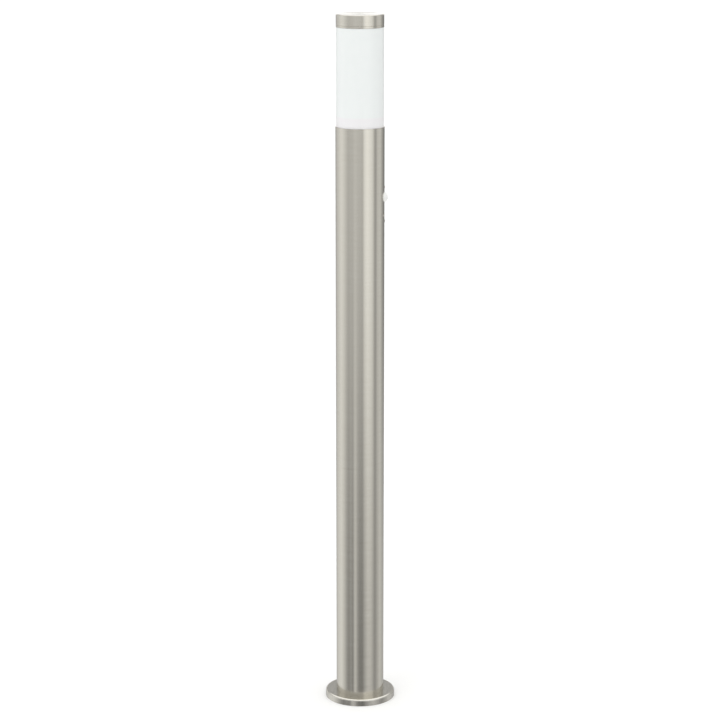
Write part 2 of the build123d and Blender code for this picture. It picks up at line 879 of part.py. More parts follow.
pieces = {
    "base_flange": base_flange,
    "locating_ring": locating_ring,
    "cable_grommet": cable_grommet,
    "pole_tube": pole_tube,
    "base_cover": base_cover,
    "head_carrier": head_carrier,
    "head_gasket": head_gasket,
    "diffuser": diffuser,
    "diffuser_ring": diffuser_ring,
    "top_cap": top_cap,
    "cap_insert": cap_insert,
    "cap_seal": cap_seal,
    "lampholder_body": lampholder_body,
    "lampholder_sleeve": lampholder_sleeve,
    "lampholder_contact": lampholder_contact,
    "lampholder_screws": lampholder_screws,
    "bulb_screw_shell": bulb_screw_shell,
    "bulb_insulator": bulb_insulator,
    "bulb_tip_contact": bulb_tip_contact,
    "bulb_globe": bulb_globe,
    "bulb_housing": bulb_housing,
    "bulb_led_board": bulb_led_board,
    "bulb_driver": bulb_driver,
    "sensor_housing": sensor_housing,
    "sensor_gasket": sensor_gasket,
    "sensor_back_cover": sensor_back_cover,
    "sensor_screws": sensor_screws,
    "sensor_lens": sensor_lens,
    "photocell_window": photocell_window,
    "circuit_board": circuit_board,
    "board_screws": board_screws,
    "pir_element": pir_element,
    "photocell": photocell,
    "relay": relay,
    "capacitor": capacitor,
    "time_potentiometer": time_potentiometer,
    "lux_potentiometer": lux_potentiometer,
    "time_adjuster": time_adjuster,
    "lux_adjuster": lux_adjuster,
    "terminal_bracket": terminal_bracket,
    "bracket_screws": bracket_screws,
    "terminal_block": terminal_block,
    "terminal_clamps": terminal_clamps,
    "terminal_screws": terminal_screws,
    "block_screws": block_screws,
    "strain_relief": strain_relief,
    "strain_relief_screws": strain_relief_screws,
    "earth_tab": earth_tab,
    "earth_lug": earth_lug,
    "earth_screw": earth_screw,
    "sensor_lead": sensor_lead,
    "earth_lead": earth_lead,
    "lamp_leads": lamp_leads,
}

os.makedirs("parts", exist_ok=True)
for name, piece in pieces.items():
    piece.part.label = name
    export_step(piece.part, f"parts/{name}.step")
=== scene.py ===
import json
import math

import bmesh
import bpy
from mathutils import Matrix, Vector


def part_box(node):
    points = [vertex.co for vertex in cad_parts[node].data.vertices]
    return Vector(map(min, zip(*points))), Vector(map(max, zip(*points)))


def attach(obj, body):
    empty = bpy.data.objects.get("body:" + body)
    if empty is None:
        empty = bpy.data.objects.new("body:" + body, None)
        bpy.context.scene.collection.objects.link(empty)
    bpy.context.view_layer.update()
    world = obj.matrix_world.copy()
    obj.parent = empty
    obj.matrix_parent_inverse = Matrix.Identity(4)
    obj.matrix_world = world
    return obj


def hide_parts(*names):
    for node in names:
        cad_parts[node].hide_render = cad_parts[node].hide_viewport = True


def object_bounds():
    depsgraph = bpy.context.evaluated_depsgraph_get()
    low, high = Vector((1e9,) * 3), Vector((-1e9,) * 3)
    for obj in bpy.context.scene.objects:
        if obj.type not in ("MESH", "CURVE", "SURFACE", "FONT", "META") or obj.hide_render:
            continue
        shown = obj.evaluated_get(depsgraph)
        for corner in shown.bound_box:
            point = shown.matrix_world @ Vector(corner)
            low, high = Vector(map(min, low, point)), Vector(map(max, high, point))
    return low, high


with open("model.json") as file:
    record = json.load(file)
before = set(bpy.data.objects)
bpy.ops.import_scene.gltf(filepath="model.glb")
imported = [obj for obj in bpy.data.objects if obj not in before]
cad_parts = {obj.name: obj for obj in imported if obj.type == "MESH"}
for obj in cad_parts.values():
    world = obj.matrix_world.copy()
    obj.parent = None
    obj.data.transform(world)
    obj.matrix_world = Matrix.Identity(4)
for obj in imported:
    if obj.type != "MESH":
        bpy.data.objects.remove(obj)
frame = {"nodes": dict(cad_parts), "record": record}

cad_low, cad_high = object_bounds()
scene = bpy.context.scene
nodes = frame["nodes"]
MM = 0.001

# ---- Camera: a long lens, a little above the light's top, with the sensor at the right edge ----

CAMERA_AZIMUTH = -84.0
CAMERA_ELEVATION = 13.0
CAMERA_DISTANCE = 3.6
CAMERA_LENS = 114.2
AIM_SHARE = 0.5079


def direction(azimuth, elevation):
    """The way from the object to a point seen at this azimuth and elevation, in degrees."""
    turn = math.radians(azimuth)
    lift = math.radians(elevation)
    return Vector(
        (math.sin(turn) * math.cos(lift), -math.cos(turn) * math.cos(lift), math.sin(lift))
    )


def add_camera():
    """The camera looks at a point about halfway up the light."""
    camera = bpy.data.objects.new("camera", bpy.data.cameras.new("camera"))
    scene.collection.objects.link(camera)
    scene.camera = camera
    back = direction(CAMERA_AZIMUTH, CAMERA_ELEVATION)
    aim = Vector((0, 0, cad_high.z * AIM_SHARE))
    camera.data.lens = CAMERA_LENS
    camera.location = aim + back * CAMERA_DISTANCE
    camera.rotation_mode = "QUATERNION"
    camera.rotation_quaternion = (-back).to_track_quat("-Z", "Y")


# ---- Materials ----


def linear(hex_colour):
    """An sRGB hex colour as linear red, green, blue and alpha."""
    parts = [int(hex_colour[i : i + 2], 16) / 255 for i in (0, 2, 4)]
    return [p / 12.92 if p <= 0.04045 else ((p + 0.055) / 1.055) ** 2.4 for p in parts] + [1.0]


def add_node(tree, kind, settings=None, inputs=None):
    """Adds a node; an input is given either a value or the output that feeds it."""
    made = tree.nodes.new(kind)
    for name, value in (settings or {}).items():
        setattr(made, name, value)
    for socket, value in (inputs or {}).items():
        if isinstance(value, bpy.types.NodeSocket):
            tree.links.new(value, made.inputs[socket])
        else:
            made.inputs[socket].default_value = value
    return made


def new_material(name):
    """An empty Principled material: its tree, its shader and its Object coordinates."""
    material = bpy.data.materials.new(name)
    material.use_nodes = True
    tree = material.node_tree
    shader = tree.nodes["Principled BSDF"]
    place = add_node(tree, "ShaderNodeTexCoord").outputs["Object"]
    return material, tree, shader, place


def grain(tree, place, spacing, stretch=(1, 1, 1), detail=2.0):
    """A soft noise from 0 to 1 with features of the given size in metres, stretched along the axes."""
    mapped = add_node(
        tree,
        "ShaderNodeMapping",
        inputs={"Vector": place, "Scale": [1 / (spacing * s) for s in stretch]},
    )
    return add_node(
        tree,
        "ShaderNodeTexNoise",
        inputs={"Vector": mapped.outputs["Vector"], "Scale": 1.0, "Detail": detail},
    ).outputs["Fac"]


def spread(tree, value, low, high):
    """A noise brought between low and high; most of a noise lies from 0.3 to 0.7."""
    return add_node(
        tree,
        "ShaderNodeMapRange",
        inputs={"Value": value, "From Min": 0.3, "From Max": 0.7, "To Min": low, "To Max": high},
    ).outputs["Result"]


def mix_colours(tree, factor, first, second):
    """A colour between two, each given as a linear colour or as the output that makes it."""
    # A Mix node keeps its colour inputs at 6 and 7, and its colour output at 2.
    inputs = {0: factor, 6: first, 7: second}
    return add_node(tree, "ShaderNodeMix", {"data_type": "RGBA"}, inputs).outputs[2]


def tint(tree, factor, dark, light):
    """A colour between two hex colours."""
    return mix_colours(tree, factor, linear(dark), linear(light))


def finish_surface(tree, shader, colour, roughness, height=None, depth=0.0):
    """Feeds the shader its colour and roughness, and a bump of the given depth in metres."""
    tree.links.new(colour, shader.inputs["Base Color"])
    tree.links.new(roughness, shader.inputs["Roughness"])
    if height is not None:
        bump = add_node(
            tree, "ShaderNodeBump", inputs={"Height": height, "Distance": depth, "Strength": 1.0}
        )
        tree.links.new(bump.outputs["Normal"], shader.inputs["Normal"])


def satin_stainless():
    """304 stainless tube, ground round its girth: sharp streaks across, long soft ones up and down.

    Real grinding lines are about 0.1 mm apart; they are drawn 0.5 mm apart so that they show close up.
    """
    material, tree, shader, place = new_material("satin_stainless")
    lines = grain(tree, place, 0.5 * MM, stretch=(60, 60, 1), detail=3.0)
    colour = tint(tree, spread(tree, lines, 0.0, 1.0), "D4D0C5", "DCD9CF")
    roughness = spread(tree, lines, 0.15, 0.19)
    shader.inputs["Metallic"].default_value = 1.0
    shader.inputs["Anisotropic"].default_value = 0.8
    shader.inputs["Anisotropic Rotation"].default_value = 0.25
    around = add_node(tree, "ShaderNodeTangent", {"direction_type": "RADIAL", "axis": "Z"})
    tree.links.new(around.outputs["Tangent"], shader.inputs["Tangent"])
    finish_surface(tree, shader, colour, roughness, lines, 0.0012 * MM)
    return material


def pressed_stainless():
    """304 stainless sheet, brushed flat before pressing: fine straight lines across the rosette.

    They too are drawn coarser than real ones.
    """
    material, tree, shader, place = new_material("pressed_stainless")
    lines = grain(tree, place, 0.6 * MM, stretch=(60, 1, 60), detail=3.0)
    colour = tint(tree, spread(tree, lines, 0.0, 1.0), "CDCAC1", "DCD9D0")
    roughness = spread(tree, lines, 0.16, 0.22)
    shader.inputs["Metallic"].default_value = 1.0
    finish_surface(tree, shader, colour, roughness, lines, 0.0015 * MM)
    return material


def dull_metal(name, dark, light, low, high, size, depth):
    """A plated or drawn metal: cloudy colour, a soft gloss and a fine random texture."""
    material, tree, shader, place = new_material(name)
    clouds = grain(tree, place, size * 12)
    specks = grain(tree, place, size, detail=4.0)
    shader.inputs["Metallic"].default_value = 1.0
    colour = tint(tree, clouds, dark, light)
    finish_surface(tree, shader, colour, spread(tree, specks, low, high), specks, depth)
    return material


def plastic(name, dark, light, low, high, size, depth, ior=1.5, sheen=0.0):
    """A moulded plastic, sheath or rubber: nearly even colour and the fine texture of its mould."""
    material, tree, shader, place = new_material(name)
    clouds = grain(tree, place, size * 20)
    texture = grain(tree, place, size, detail=3.0)
    shader.inputs["IOR"].default_value = ior
    shader.inputs["Sheen Weight"].default_value = sheen
    colour = tint(tree, clouds, dark, light)
    finish_surface(tree, shader, colour, spread(tree, texture, low, high), texture, depth)
    return material


def opal(name, dark, light, low, high, milkiness):
    """Opal polycarbonate, extruded or moulded: milky inside, with a satin skin."""
    material = plastic(name, dark, light, low, high, 0.5 * MM, 0.001 * MM, ior=1.585)
    shader = material.node_tree.nodes["Principled BSDF"]
    shader.inputs["Subsurface Weight"].default_value = milkiness
    shader.inputs["Subsurface Radius"].default_value = (1.0, 1.0, 1.0)
    shader.inputs["Subsurface Scale"].default_value = 2.0 * MM
    return material


def opal_tube_polycarbonate():
    """The extruded opal tube: cool and milky, with a painted warmer white band at its foot that stands
    for the white ring's light showing through.
    """
    material = opal("opal_polycarbonate", "E7EBEA", "EAEDEC", 0.34, 0.42, 0.25)
    tree = material.node_tree
    base_colour = tree.nodes["Principled BSDF"].inputs["Base Color"]
    milk = base_colour.links[0].from_socket
    ring_above_pole = 16
    ring_top = (size_of("pole_tube")[1].z + ring_above_pole) * MM
    fade = 1.5 * MM
    place = add_node(tree, "ShaderNodeTexCoord").outputs["Object"]
    height = add_node(tree, "ShaderNodeSeparateXYZ", inputs={"Vector": place}).outputs["Z"]
    share = add_node(
        tree,
        "ShaderNodeMapRange",
        {"interpolation_type": "SMOOTHSTEP"},
        {"Value": height, "From Min": ring_top + fade, "From Max": ring_top - fade},
    ).outputs["Result"]
    # Painted light: below the ring's top the colour turns to a warmer white, standing in for light that
    # the white ring behind sends back through the tube.
    tree.links.new(mix_colours(tree, share, milk, linear("EAE9EA")), base_colour)
    return material


def clear_polycarbonate():
    """Clear polycarbonate window, moulded and polished: glossy, faintly grey."""
    material, tree, shader, place = new_material("clear_polycarbonate")
    clouds = grain(tree, place, 4 * MM)
    shader.inputs["IOR"].default_value = 1.585
    shader.inputs["Transmission Weight"].default_value = 0.85
    colour = tint(tree, clouds, "E4EAEA", "EDF1F1")
    finish_surface(tree, shader, colour, spread(tree, clouds, 0.05, 0.09))
    return material


def make_materials():
    """One material for each slot of the record."""
    return {
        "brushed_stainless": satin_stainless(),
        "pressed_stainless": pressed_stainless(),
        # Zinc plate, dipped and dulled: cool grey, cloudy, with a slight grit.
        "plain_steel": dull_metal("zinc_plate", "A9ABAC", "BFC1C0", 0.34, 0.48, 1.0 * MM, 0.008 * MM),
        # Nickel plate on turned screws: warm grey with small bright highlights.
        "screw_steel": dull_metal("nickel_plate", "B4B0A8", "C6C2BA", 0.2, 0.3, 0.6 * MM, 0.003 * MM),
        # Drawn brass, bare: yellow, brighter where it has been handled.
        "brass": dull_metal("drawn_brass", "B08D4A", "CBA964", 0.24, 0.36, 0.8 * MM, 0.004 * MM),
        "opal_diffuser": opal_tube_polycarbonate(),
        # Blown opal globe: creamy white and a little glossier than the tube.
        "opal_globe": opal("opal_globe_polycarbonate", "F0EFEA", "F5F4F0", 0.22, 0.3, 0.0),
        # Moulded polyethylene that lets heat through to the sensor: waxy white, softly glossy.
        "sensor_white": plastic(
            "white_polyethylene", "E9EAE8", "F2F2F0", 0.3, 0.42, 0.7 * MM, 0.006 * MM, ior=1.51
        ),
        "clear_plastic": clear_polycarbonate(),
        # Moulded nylon with glass fibre: black turned grey by its rough skin.
        "black_plastic": plastic(
            "black_glass_filled_nylon", "17181A", "222325", 0.42, 0.58, 0.5 * MM, 0.012 * MM
        ),
        # Moulded ABS: warm white, half gloss.
        "white_plastic": plastic("white_abs", "E3E2DD", "ECEBE7", 0.34, 0.46, 0.6 * MM, 0.006 * MM),
        # Moulded polyamide: mid grey, nearly matt.
        "grey_plastic": plastic("grey_polyamide", "5A5C5E", "6A6C6E", 0.4, 0.52, 0.5 * MM, 0.008 * MM),
        # Moulded rubber: matt black with a faint bloom.
        "black_rubber": plastic(
            "black_epdm", "1A1A1A", "262625", 0.6, 0.76, 0.7 * MM, 0.015 * MM, sheen=0.1
        ),
        # Lacquer over the board's copper: deep green and glossy.
        "circuit_green": plastic("solder_resist", "1C5A34", "246B3F", 0.25, 0.36, 0.8 * MM, 0.004 * MM),
        # Moulded case of the relay: even blue, half gloss.
        "relay_blue": plastic("blue_relay_case", "1E4FA0", "2A5DB0", 0.28, 0.38, 0.6 * MM, 0.004 * MM),
        # Extruded PVC sheath: black with a soft shine along the wire.
        "lead_sheath": plastic("black_pvc_sheath", "1C1C1D", "292929", 0.4, 0.52, 0.8 * MM, 0.008 * MM),
        # Extruded PVC sheath of the earth lead: leaf green.
        "earth_sheath": plastic("green_pvc_sheath", "3F7A2A", "52903A", 0.38, 0.5, 0.8 * MM, 0.006 * MM),
        # Silicone sheath that stands the lamp's heat: brown and matt.
        "lamp_sheath": plastic("brown_silicone", "5A3626", "6C4433", 0.5, 0.62, 0.8 * MM, 0.006 * MM),
    }


# ---- Making pieces: all sizes are in millimetres, and MM turns them to metres ----

SHEET = 1.0
FORWARD = Matrix.Rotation(math.radians(90), 4, "X")
# Three of everything stands round the pole at these angles: anchor holes, slots and lugs.
THIRDS = (90, 210, 330)


def on_circle(radius, degrees):
    turn = math.radians(degrees)
    return radius * math.cos(turn), radius * math.sin(turn)


def arc_points(radius, centre, start, end, steps):
    """Points on an arc round (0, centre) in the X-Z plane; 0 degrees is the top."""
    turns = [math.radians(start + (end - start) * i / steps) for i in range(steps + 1)]
    return [(radius * math.sin(turn), centre + radius * math.cos(turn)) for turn in turns]


def spun(points, segments=192):
    """A closed outline in the X-Z plane, spun once round the pole's axis."""
    bm = bmesh.new()
    verts = [bm.verts.new((x * MM, 0, z * MM)) for x, z in points]
    edges = [bm.edges.new((verts[i - 1], verts[i])) for i in range(len(verts))]
    bmesh.ops.spin(
        bm,
        geom=verts + edges,
        cent=(0, 0, 0),
        axis=(0, 0, 1),
        dvec=(0, 0, 0),
        angle=2 * math.pi,
        steps=segments,
        use_merge=True,
        use_duplicate=False,
    )
    bmesh.ops.remove_doubles(bm, verts=bm.verts, dist=0.0005 * MM)
    bare = [edge for edge in bm.edges if not edge.link_faces]
    bmesh.ops.delete(bm, geom=bare, context="EDGES")
    bmesh.ops.recalc_face_normals(bm, faces=bm.faces)
    return bm


def face_front(bm, place):
    """Turns a spun piece from upright to facing the front, and moves it to its place."""
    turn = Matrix.Rotation(math.radians(90), 3, "X")
    bmesh.ops.rotate(bm, verts=bm.verts, cent=(0, 0, 0), matrix=turn)
    bmesh.ops.translate(bm, verts=bm.verts, vec=Vector(place) * MM)


def edge_middle(edge):
    return (edge.verts[0].co + edge.verts[1].co) / 2 / MM


def soften(bm, width, segments=2, keep=lambda edge: True):
    """Rounds the sharp edges that keep() allows."""
    sharp = [
        edge
        for edge in bm.edges
        if len(edge.link_faces) == 2 and edge.calc_face_angle() > math.radians(40) and keep(edge)
    ]
    bmesh.ops.bevel(
        bm,
        geom=sharp,
        offset=width * MM,
        segments=segments,
        profile=0.5,
        affect="EDGES",
        material=-1,
        clamp_overlap=True,
    )


def add_rod(bm, radius, middle, length, turn=Matrix(), segments=48):
    """A round rod about its middle, upright unless it is turned."""
    bmesh.ops.create_cone(
        bm,
        cap_ends=True,
        segments=segments,
        radius1=radius * MM,
        radius2=radius * MM,
        depth=length * MM,
        matrix=Matrix.Translation(Vector(middle) * MM) @ turn,
    )


def add_block(bm, middle, size, degrees=0):
    """A block about its middle, carried round the pole's axis by an angle."""
    bmesh.ops.create_cube(
        bm,
        size=1.0,
        matrix=Matrix.Rotation(math.radians(degrees), 4, "Z")
        @ Matrix.Translation(Vector(middle) * MM)
        @ Matrix.Diagonal((*(Vector(size) * MM), 1)),
    )


def placed(bm, name):
    """The finished mesh as an object in the scene."""
    mesh = bpy.data.meshes.new(name)
    bm.to_mesh(mesh)
    bm.free()
    piece = bpy.data.objects.new(name, mesh)
    scene.collection.objects.link(piece)
    return piece


def bar_cutter(name, radius, x, z, front, back, segments=48):
    """A rod along Y that cuts a hole from front to back."""
    bm = bmesh.new()
    add_rod(bm, radius, (x, (front + back) / 2, z), back - front, FORWARD, segments)
    return placed(bm, name)


def post_cutter(name, radius, x, y, low, high, segments=32):
    """An upright rod that cuts a hole from low to high."""
    bm = bmesh.new()
    add_rod(bm, radius, (x, y, (low + high) / 2), high - low, segments=segments)
    return placed(bm, name)


def block_cutter(name, low, high):
    """A block between two corners that cuts a recess."""
    bm = bmesh.new()
    add_block(bm, (Vector(low) + Vector(high)) / 2, Vector(high) - Vector(low))
    return placed(bm, name)


def cut(piece, cutters):
    """Takes each cutter out of the piece, and removes the cutters."""
    for cutter in cutters:
        step = piece.modifiers.new("cut", "BOOLEAN")
        step.operation = "DIFFERENCE"
        step.solver = "EXACT"
        step.object = cutter
    graph = bpy.context.evaluated_depsgraph_get()
    mesh = bpy.data.meshes.new_from_object(piece.evaluated_get(graph))
    piece.modifiers.clear()
    piece.data = mesh
    for cutter in cutters:
        bpy.data.objects.remove(cutter)


def dress(piece, body, slot, materials, replaced=()):
    """Shading, material, body, slot and the CAD nodes that the piece stands for."""
    mesh = piece.data
    mesh.polygons.foreach_set("use_smooth", [True] * len(mesh.polygons))
    mesh.set_sharp_from_angle(angle=math.radians(38))
    even = piece.modifiers.new("even_shading", "WEIGHTED_NORMAL")
    even.keep_sharp = True
    mesh.materials.clear()
    mesh.materials.append(materials[slot])
    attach(piece, body)
    if replaced:
        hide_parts(*replaced)


def size_of(node):
    """A node's lowest and highest corner in millimetres."""
    low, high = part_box(node)
    return low / MM, high / MM


def middle_of(node):
    low, high = size_of(node)
    return (low + high) / 2


def make_pole(materials):
    """The tube, with its holes for the sensor's lens, window and adjusters."""
    low, high = size_of("pole_tube")
    outer = high.x
    inner = outer - SHEET
    screws_low, screws_high = size_of("sensor_screws")
    margin = 6
    band_low = screws_low.z - margin
    band_high = screws_high.z + margin
    outline = [
        (inner, low.z),
        (outer, low.z),
        (outer, band_low),
        (outer, band_high),
        (outer, high.z),
        (inner, high.z),
        (inner, band_high),
        (inner, band_low),
    ]
    bm = spun(outline)
    soften(bm, 0.25)
    pole = placed(bm, "pole")
    lens_hole = 8.4
    window_hole = 2.6
    adjuster_hole = 2.9
    front = -outer - 2
    back = -outer + 5
    lens_height = middle_of("sensor_lens").z
    window_height = middle_of("photocell_window").z
    holes = [
        bar_cutter("lens_hole", lens_hole, 0, lens_height, front, back, 64),
        bar_cutter("window_hole", window_hole, 0, window_height, front, back),
    ]
    for adjuster in ("time_adjuster", "lux_adjuster"):
        middle = middle_of(adjuster)
        holes.append(bar_cutter(adjuster + "_hole", adjuster_hole, middle.x, middle.z, front, back))
    cut(pole, holes)
    dress(pole, "pole", "brushed_stainless", materials, ["pole_tube"])


def make_rosette(materials):
    """One pressing: flat ring, rounded edge and a short skirt."""
    low, high = size_of("base_cover")
    outer = high.x
    inner = outer - SHEET
    under = high.z - SHEET
    hole = 38.12
    outline = [
        (hole, high.z),
        (outer, high.z),
        (outer, low.z),
        (inner, low.z),
        (inner, under),
        (hole, under),
    ]
    bm = spun(outline)

    def at_corner(edge, radius, height):
        middle = edge_middle(edge)
        return abs(middle.xy.length - radius) < 0.5 and abs(middle.z - height) < 0.1

    soften(bm, 2.8, 8, lambda edge: at_corner(edge, outer, high.z))
    soften(bm, 1.8, 6, lambda edge: at_corner(edge, inner, under))
    soften(bm, 0.2)
    dress(placed(bm, "rosette"), "rosette", "pressed_stainless", materials, ["base_cover"])


def make_cap(materials):
    """A turned cap with a rounded top edge and a fine line turned above its lower rim."""
    low, high = size_of("top_cap")
    outer = high.x
    inner = outer - SHEET
    under = high.z - SHEET
    line = low.z + 3
    line_depth = 0.3
    outline = [
        (0, high.z),
        (outer, high.z),
        (outer, line + 0.7),
        (outer - line_depth, line + 0.5),
        (outer - line_depth, line + 0.2),
        (outer, line),
        (outer, low.z),
        (inner, low.z),
        (inner, under),
        (0, under),
    ]
    bm = spun(outline)
    soften(bm, 1.2, 5, lambda edge: edge_middle(edge).z > high.z - 0.1)
    soften(bm, 0.2, 2, lambda edge: edge_middle(edge).z < line - 1)
    dress(placed(bm, "cap"), "head", "brushed_stainless", materials, ["top_cap"])


def make_diffuser(materials):
    low, high = size_of("diffuser")
    inner = high.x - 2
    bm = spun([(inner, low.z), (high.x, low.z), (high.x, high.z), (inner, high.z)])
    soften(bm, 0.4)
    dress(placed(bm, "opal_tube"), "head", "opal_diffuser", materials, ["diffuser"])


def make_lens(materials):
    """A hollow dome on a short neck, with a flange behind the pole's wall."""
    low, high = size_of("sensor_lens")
    seat = -37.2
    radius = 8.0
    wall = 1.0
    steps = 14
    rise = seat - low.y
    ball = (radius**2 + rise**2) / (2 * rise)
    widest = math.degrees(math.asin(radius / ball))
    widest_inside = math.degrees(math.asin((radius - wall) / (ball - wall)))
    dome = arc_points(ball, rise - ball, 0, widest, steps)
    hollow = arc_points(ball - wall, rise - ball, widest_inside, 0, steps)
    flange_back = seat - high.y
    flange_front = flange_back + 1.2
    neck = [
        (radius, flange_front),
        (high.x, flange_front),
        (high.x, flange_back),
        (radius - wall, flange_back),
    ]
    bm = spun(dome + neck + hollow, 72)
    face_front(bm, (0, seat, (low.z + high.z) / 2))
    dress(placed(bm, "lens_dome"), "pole", "sensor_white", materials, ["sensor_lens"])


def make_sensor_screws(materials):
    """Two pan-head screws with cross recesses, through the pole into the case."""
    low, high = size_of("sensor_screws")
    head = 2.8
    head_side = 1.0
    shank = 1.5
    seat = -size_of("pole_tube")[1].x
    rise = seat - low.y
    length = high.y - seat
    crown = arc_points(head, rise - head, 0, 30, 6)
    side = [(head, rise - head_side), (head, 0), (shank, 0), (shank, -length), (0, -length)]
    bm = spun(crown + side, 48)
    face_front(bm, (0, seat, low.z + head))
    copy = bmesh.ops.duplicate(bm, geom=bm.verts[:] + bm.edges[:] + bm.faces[:])["geom"]
    second = [part for part in copy if isinstance(part, bmesh.types.BMVert)]
    apart = high.z - low.z - 2 * head
    bmesh.ops.translate(bm, verts=second, vec=(0, 0, apart * MM))
    piece = placed(bm, "sensor_screw_pair")
    long = 1.6
    thin = 0.32
    depth = 1.1
    cutters = []
    for z in (low.z + head, high.z - head):
        for half_x, half_z in ((long, thin), (thin, long)):
            start = (-half_x, low.y - 1, z - half_z)
            end = (half_x, low.y + depth, z + half_z)
            cutters.append(block_cutter(f"recess_{z:.0f}_{half_x}", start, end))
    cut(piece, cutters)
    dress(piece, "pole", "screw_steel", materials, ["sensor_screws"])


def make_flange(materials):
    """The welded foot plate: a turned disc with three anchor holes and the cable bush's seat."""
    low, high = size_of("base_flange")
    bore = 8
    recess = 10
    recess_top = 1.5
    outline = [
        (bore, recess_top),
        (recess, recess_top),
        (recess, low.z),
        (high.x, low.z),
        (high.x, high.z),
        (bore, high.z),
    ]
    bm = spun(outline)
    soften(bm, 0.4)
    plate = placed(bm, "foot_plate")
    anchor_circle = 45
    anchor_hole = 3.5
    holes = []
    for degrees in THIRDS:
        x, y = on_circle(anchor_circle, degrees)
        holes.append(post_cutter(f"anchor_hole_{degrees}", anchor_hole, x, y, low.z - 1, high.z + 1))
    cut(plate, holes)
    dress(plate, "pole", "plain_steel", materials, ["base_flange"])


def make_weld(materials):
    """The weld between the foot plate and the pole: a flattened bead."""
    top = size_of("base_flange")[1].z
    wall = size_of("pole_tube")[1].x
    bead = ((0, 0), (1.9, 0), (1.5, 0.9), (0.7, 1.5), (0, 1.8))
    bm = spun([(wall + out, top + up) for out, up in bead])
    dress(placed(bm, "foot_weld"), "pole", "plain_steel", materials)


def carrier_slot(degrees):
    """Cutters for one bayonet slot: a column open at the rim and a leg that runs round from its foot."""
    inside = 25.5
    outside = 31.5
    leg_low = 913
    leg_high = 920.5
    column_width = 10.5
    column_height = 15
    column = bmesh.new()
    column_middle = ((inside + outside) / 2, 0, leg_low + column_height / 2)
    add_block(column, column_middle, (outside - inside, column_width, column_height), degrees)
    leg = bmesh.new()
    section = ((inside, leg_low), (outside, leg_low), (outside, leg_high), (inside, leg_high))
    corners = [leg.verts.new(Vector((x, 0, z)) * MM) for x, z in section]
    face = leg.faces.new(corners)
    bmesh.ops.spin(
        leg,
        geom=[face],
        cent=(0, 0, 0),
        axis=(0, 0, 1),
        dvec=(0, 0, 0),
        angle=math.radians(45),
        steps=12,
        use_merge=False,
        use_duplicate=False,
    )
    turn = Matrix.Rotation(math.radians(degrees), 3, "Z")
    bmesh.ops.rotate(leg, verts=leg.verts, cent=(0, 0, 0), matrix=turn)
    bmesh.ops.recalc_face_normals(leg, faces=leg.faces)
    return [placed(column, f"slot_column_{degrees}"), placed(leg, f"slot_leg_{degrees}")]


def make_carrier(materials):
    """A moulded cup with a collar on the pole's mouth and three bayonet slots in its rim."""
    low, high = size_of("head_carrier")
    cup = 30
    inside = 27
    floor_top = low.z + 4
    collar_low = 904
    collar_high = 911
    outline = [
        (0, low.z),
        (cup, low.z),
        (cup, collar_low),
        (high.x, collar_low),
        (high.x, collar_high),
        (cup, collar_high),
        (cup, high.z),
        (inside, high.z),
        (inside, floor_top),
        (0, floor_top),
    ]
    bm = spun(outline)
    soften(bm, 0.4)
    carrier = placed(bm, "carrier_cup")
    cutters = []
    for degrees in THIRDS:
        cutters += carrier_slot(degrees)
    # Each row is (name, radius, x, y) of a hole through the cup's floor.
    floor_holes = (
        ("screw_hole_left", 1.7, -12, 0),
        ("bracket_hole_left", 1.4, -7, 24),
        ("screw_hole_right", 1.7, 12, 0),
        ("bracket_hole_right", 1.4, 7, 24),
        ("lead_hole_middle", 2.0, 0, 12),
        ("lead_hole_side", 2.0, 10, 12),
    )
    for name, radius, x, y in floor_holes:
        cutters.append(post_cutter(name, radius, x, y, low.z - 1, floor_top + 1))
    cut(carrier, cutters)
    dress(carrier, "pole", "black_plastic", materials, ["head_carrier"])


def make_gasket(materials):
    """The flat rubber ring that the diffuser stands on."""
    low, high = size_of("head_gasket")
    inner = 31.2
    bm = spun([(inner, low.z), (high.x, low.z), (high.x, high.z), (inner, high.z)])
    soften(bm, 0.5, 3)
    dress(placed(bm, "head_seal"), "pole", "black_rubber", materials, ["head_gasket"])


def make_lug_ring(materials):
    """The ring inside the diffuser's foot, with the three lugs of the bayonet."""
    low, high = size_of("diffuser_ring")
    inner = 30.7
    lug_middle = (29.95, 0, 917)
    lug_size = (3.1, 7, 4)
    bm = spun([(inner, low.z), (high.x, low.z), (high.x, high.z), (inner, high.z)])
    for degrees in THIRDS:
        add_block(bm, lug_middle, lug_size, degrees)
    soften(bm, 0.3)
    dress(placed(bm, "lug_ring"), "head", "white_plastic", materials, ["diffuser_ring"])


def make_cap_plug(materials):
    """The plug under the cap: a flange, a skirt in the diffuser's mouth and a groove for its ring."""
    low, high = size_of("cap_insert")
    inside = 28.65
    plug = 34.55
    groove = 32.95
    groove_low = 1074.15
    groove_high = 1075.85
    flange_low = size_of("top_cap")[0].z
    outline = [
        (inside, low.z),
        (plug, low.z),
        (plug, groove_low),
        (groove, groove_low),
        (groove, groove_high),
        (plug, groove_high),
        (plug, flange_low),
        (high.x, flange_low),
        (high.x, high.z),
        (0, high.z),
        (0, flange_low),
        (inside, flange_low),
    ]
    bm = spun(outline)
    soften(bm, 0.3)
    dress(placed(bm, "cap_plug"), "head", "white_plastic", materials, ["cap_insert"])


def make_lampholder(materials):
    """An E27 lampholder: a grooved skirt round a smooth socket."""
    low, high = size_of("lampholder_body")
    slope = 1.5
    socket = 14.3
    socket_floor = low.z + 13
    outline = [
        (0, low.z),
        (high.x, low.z),
        (high.x, high.z - slope),
        (high.x - slope, high.z),
        (socket, high.z),
        (socket, socket_floor),
        (0, socket_floor),
    ]
    bm = spun(outline, 96)
    soften(bm, 0.3)
    skirt = placed(bm, "lampholder_skirt")
    count = 24
    groove = 1.0
    grooves = []
    for i in range(count):
        x, y = on_circle(high.x + 0.4, 360 * i / count)
        grooves.append(post_cutter(f"groove_{i}", groove, x, y, low.z + 4, high.z - 4, 12))
    cut(skirt, grooves)
    dress(skirt, "pole", "black_plastic", materials, ["lampholder_body"])


